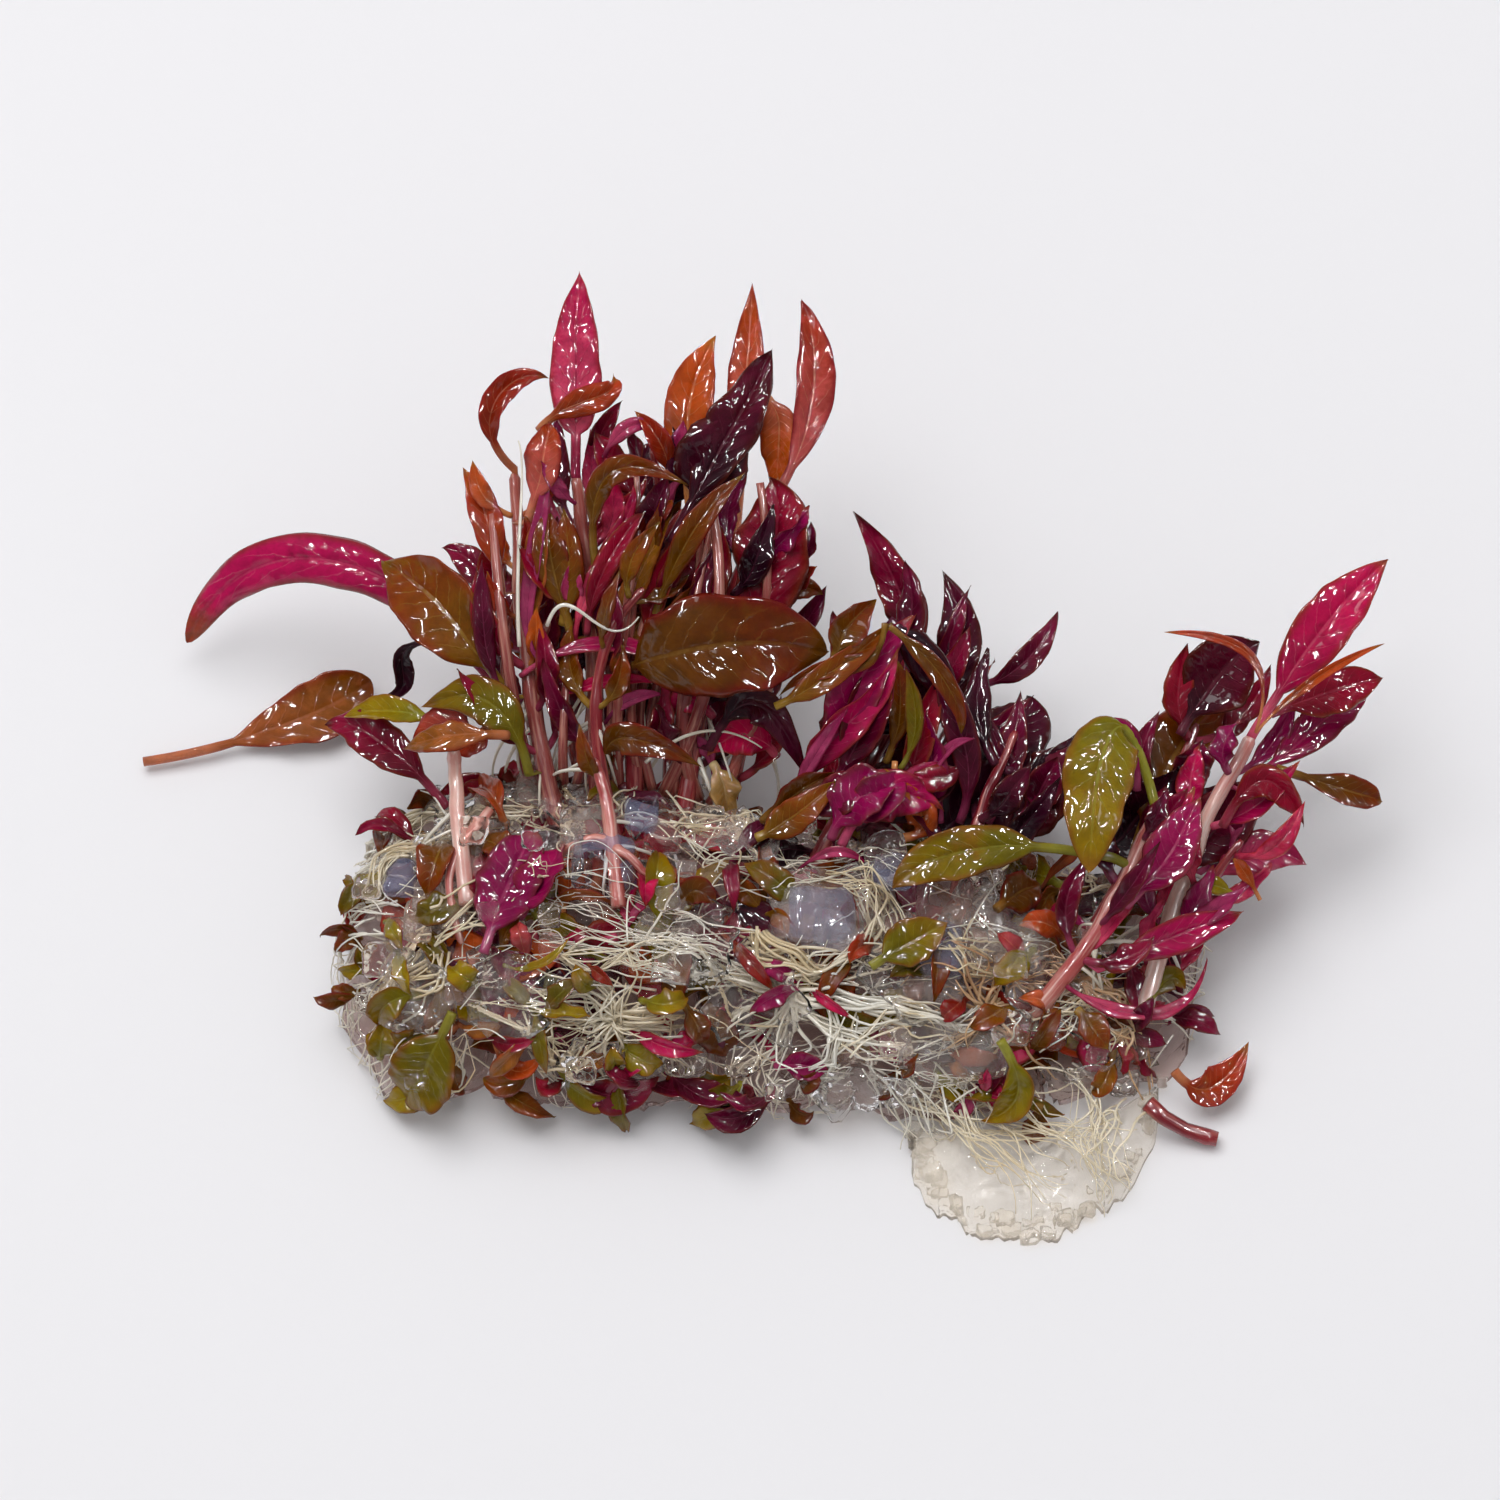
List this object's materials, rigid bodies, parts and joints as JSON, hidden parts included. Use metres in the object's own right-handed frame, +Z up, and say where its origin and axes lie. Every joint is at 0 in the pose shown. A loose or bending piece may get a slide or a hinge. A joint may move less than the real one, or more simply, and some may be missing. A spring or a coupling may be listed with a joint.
{
  "type": "alternanthera plant clump",
  "caption": "Clump of young red-leaved alternanthera lying on its side, rooted in torn clear growing jelly, with upturned stems and pointed glossy leaves.",
  "frame": {"origin": "on the flat underside of the jelly, under the middle of the strip", "axes": "+Z up, +X along the jelly strip to the right, -Y towards the rooted front, the shoots point along +Y"},
  "size_m": [0.1201, 0.0851, 0.0355],
  "materials": {
    "jelly": "wet clear growing jelly, faintly cloudy",
    "root": "fine wet cream roots",
    "stem": "juicy salmon-pink stems, wet",
    "magenta_leaf": "wet glossy leaf, magenta",
    "wine_leaf": "wet glossy leaf, dark wine red",
    "copper_leaf": "wet glossy leaf, copper orange",
    "bronze_leaf": "wet glossy leaf, olive bronze",
    "olive_leaf": "wet glossy leaf, yellow olive"
  },
  "bodies": {
    "root": {"jelly_left": "jelly", "jelly_under_bush": "jelly", "jelly_middle": "jelly", "jelly_right": "jelly", "jelly_end": "jelly", "jelly_tail": "jelly", "roots_bush": "root", "roots_middle": "root", "roots_right": "root", "tall_stem": "stem", "wine_stem": "stem", "red_stem": "stem", "dark_stem": "stem", "middle_stem": "stem", "rose_stem": "stem", "pale_stem": "stem", "left_front_stem": "stem", "front_stem": "stem", "drooping_leaf": "magenta_leaf", "fallen_leaf": "bronze_leaf", "bronze_leaf": "bronze_leaf", "small_red_leaf": "wine_leaf", "golden_leaf": "copper_leaf", "looped_leaf": "copper_leaf", "high_oval_leaf": "copper_leaf", "olive_leaf_left": "olive_leaf", "wine_leaf_left": "wine_leaf", "highest_leaf": "magenta_leaf", "dark_olive_leaf": "bronze_leaf", "arched_leaf": "bronze_leaf", "long_brown_leaf": "bronze_leaf", "copper_leaf": "copper_leaf", "wet_purple_leaf": "wine_leaf", "narrow_grey_leaf": "bronze_leaf", "magenta_strip_leaf": "magenta_leaf", "broad_oval_leaf": "bronze_leaf", "red_leaf": "copper_leaf", "orange_leaf": "copper_leaf", "broad_purple_leaf": "wine_leaf", "arching_leaf": "wine_leaf", "heart_leaf": "olive_leaf", "magenta_jelly_leaf": "magenta_leaf", "bright_olive_leaf": "olive_leaf", "curved_olive_leaf": "olive_leaf", "middle_tall_leaf": "wine_leaf", "middle_wavy_leaf": "wine_leaf", "middle_dark_leaf": "wine_leaf", "middle_purple_leaf": "magenta_leaf", "middle_magenta_leaf": "magenta_leaf", "shadowed_leaf": "wine_leaf", "long_olive_leaf": "olive_leaf", "yellow_oval_leaf": "olive_leaf", "big_bronze_leaf": "bronze_leaf", "mauve_leaf": "magenta_leaf", "crimson_leaf": "magenta_leaf", "curled_copper_leaf": "copper_leaf", "pink_leaf": "copper_leaf", "pale_shoot_leaf": "magenta_leaf", "pale_shoot_low_leaf": "magenta_leaf"}
  },
  "joints": []
}
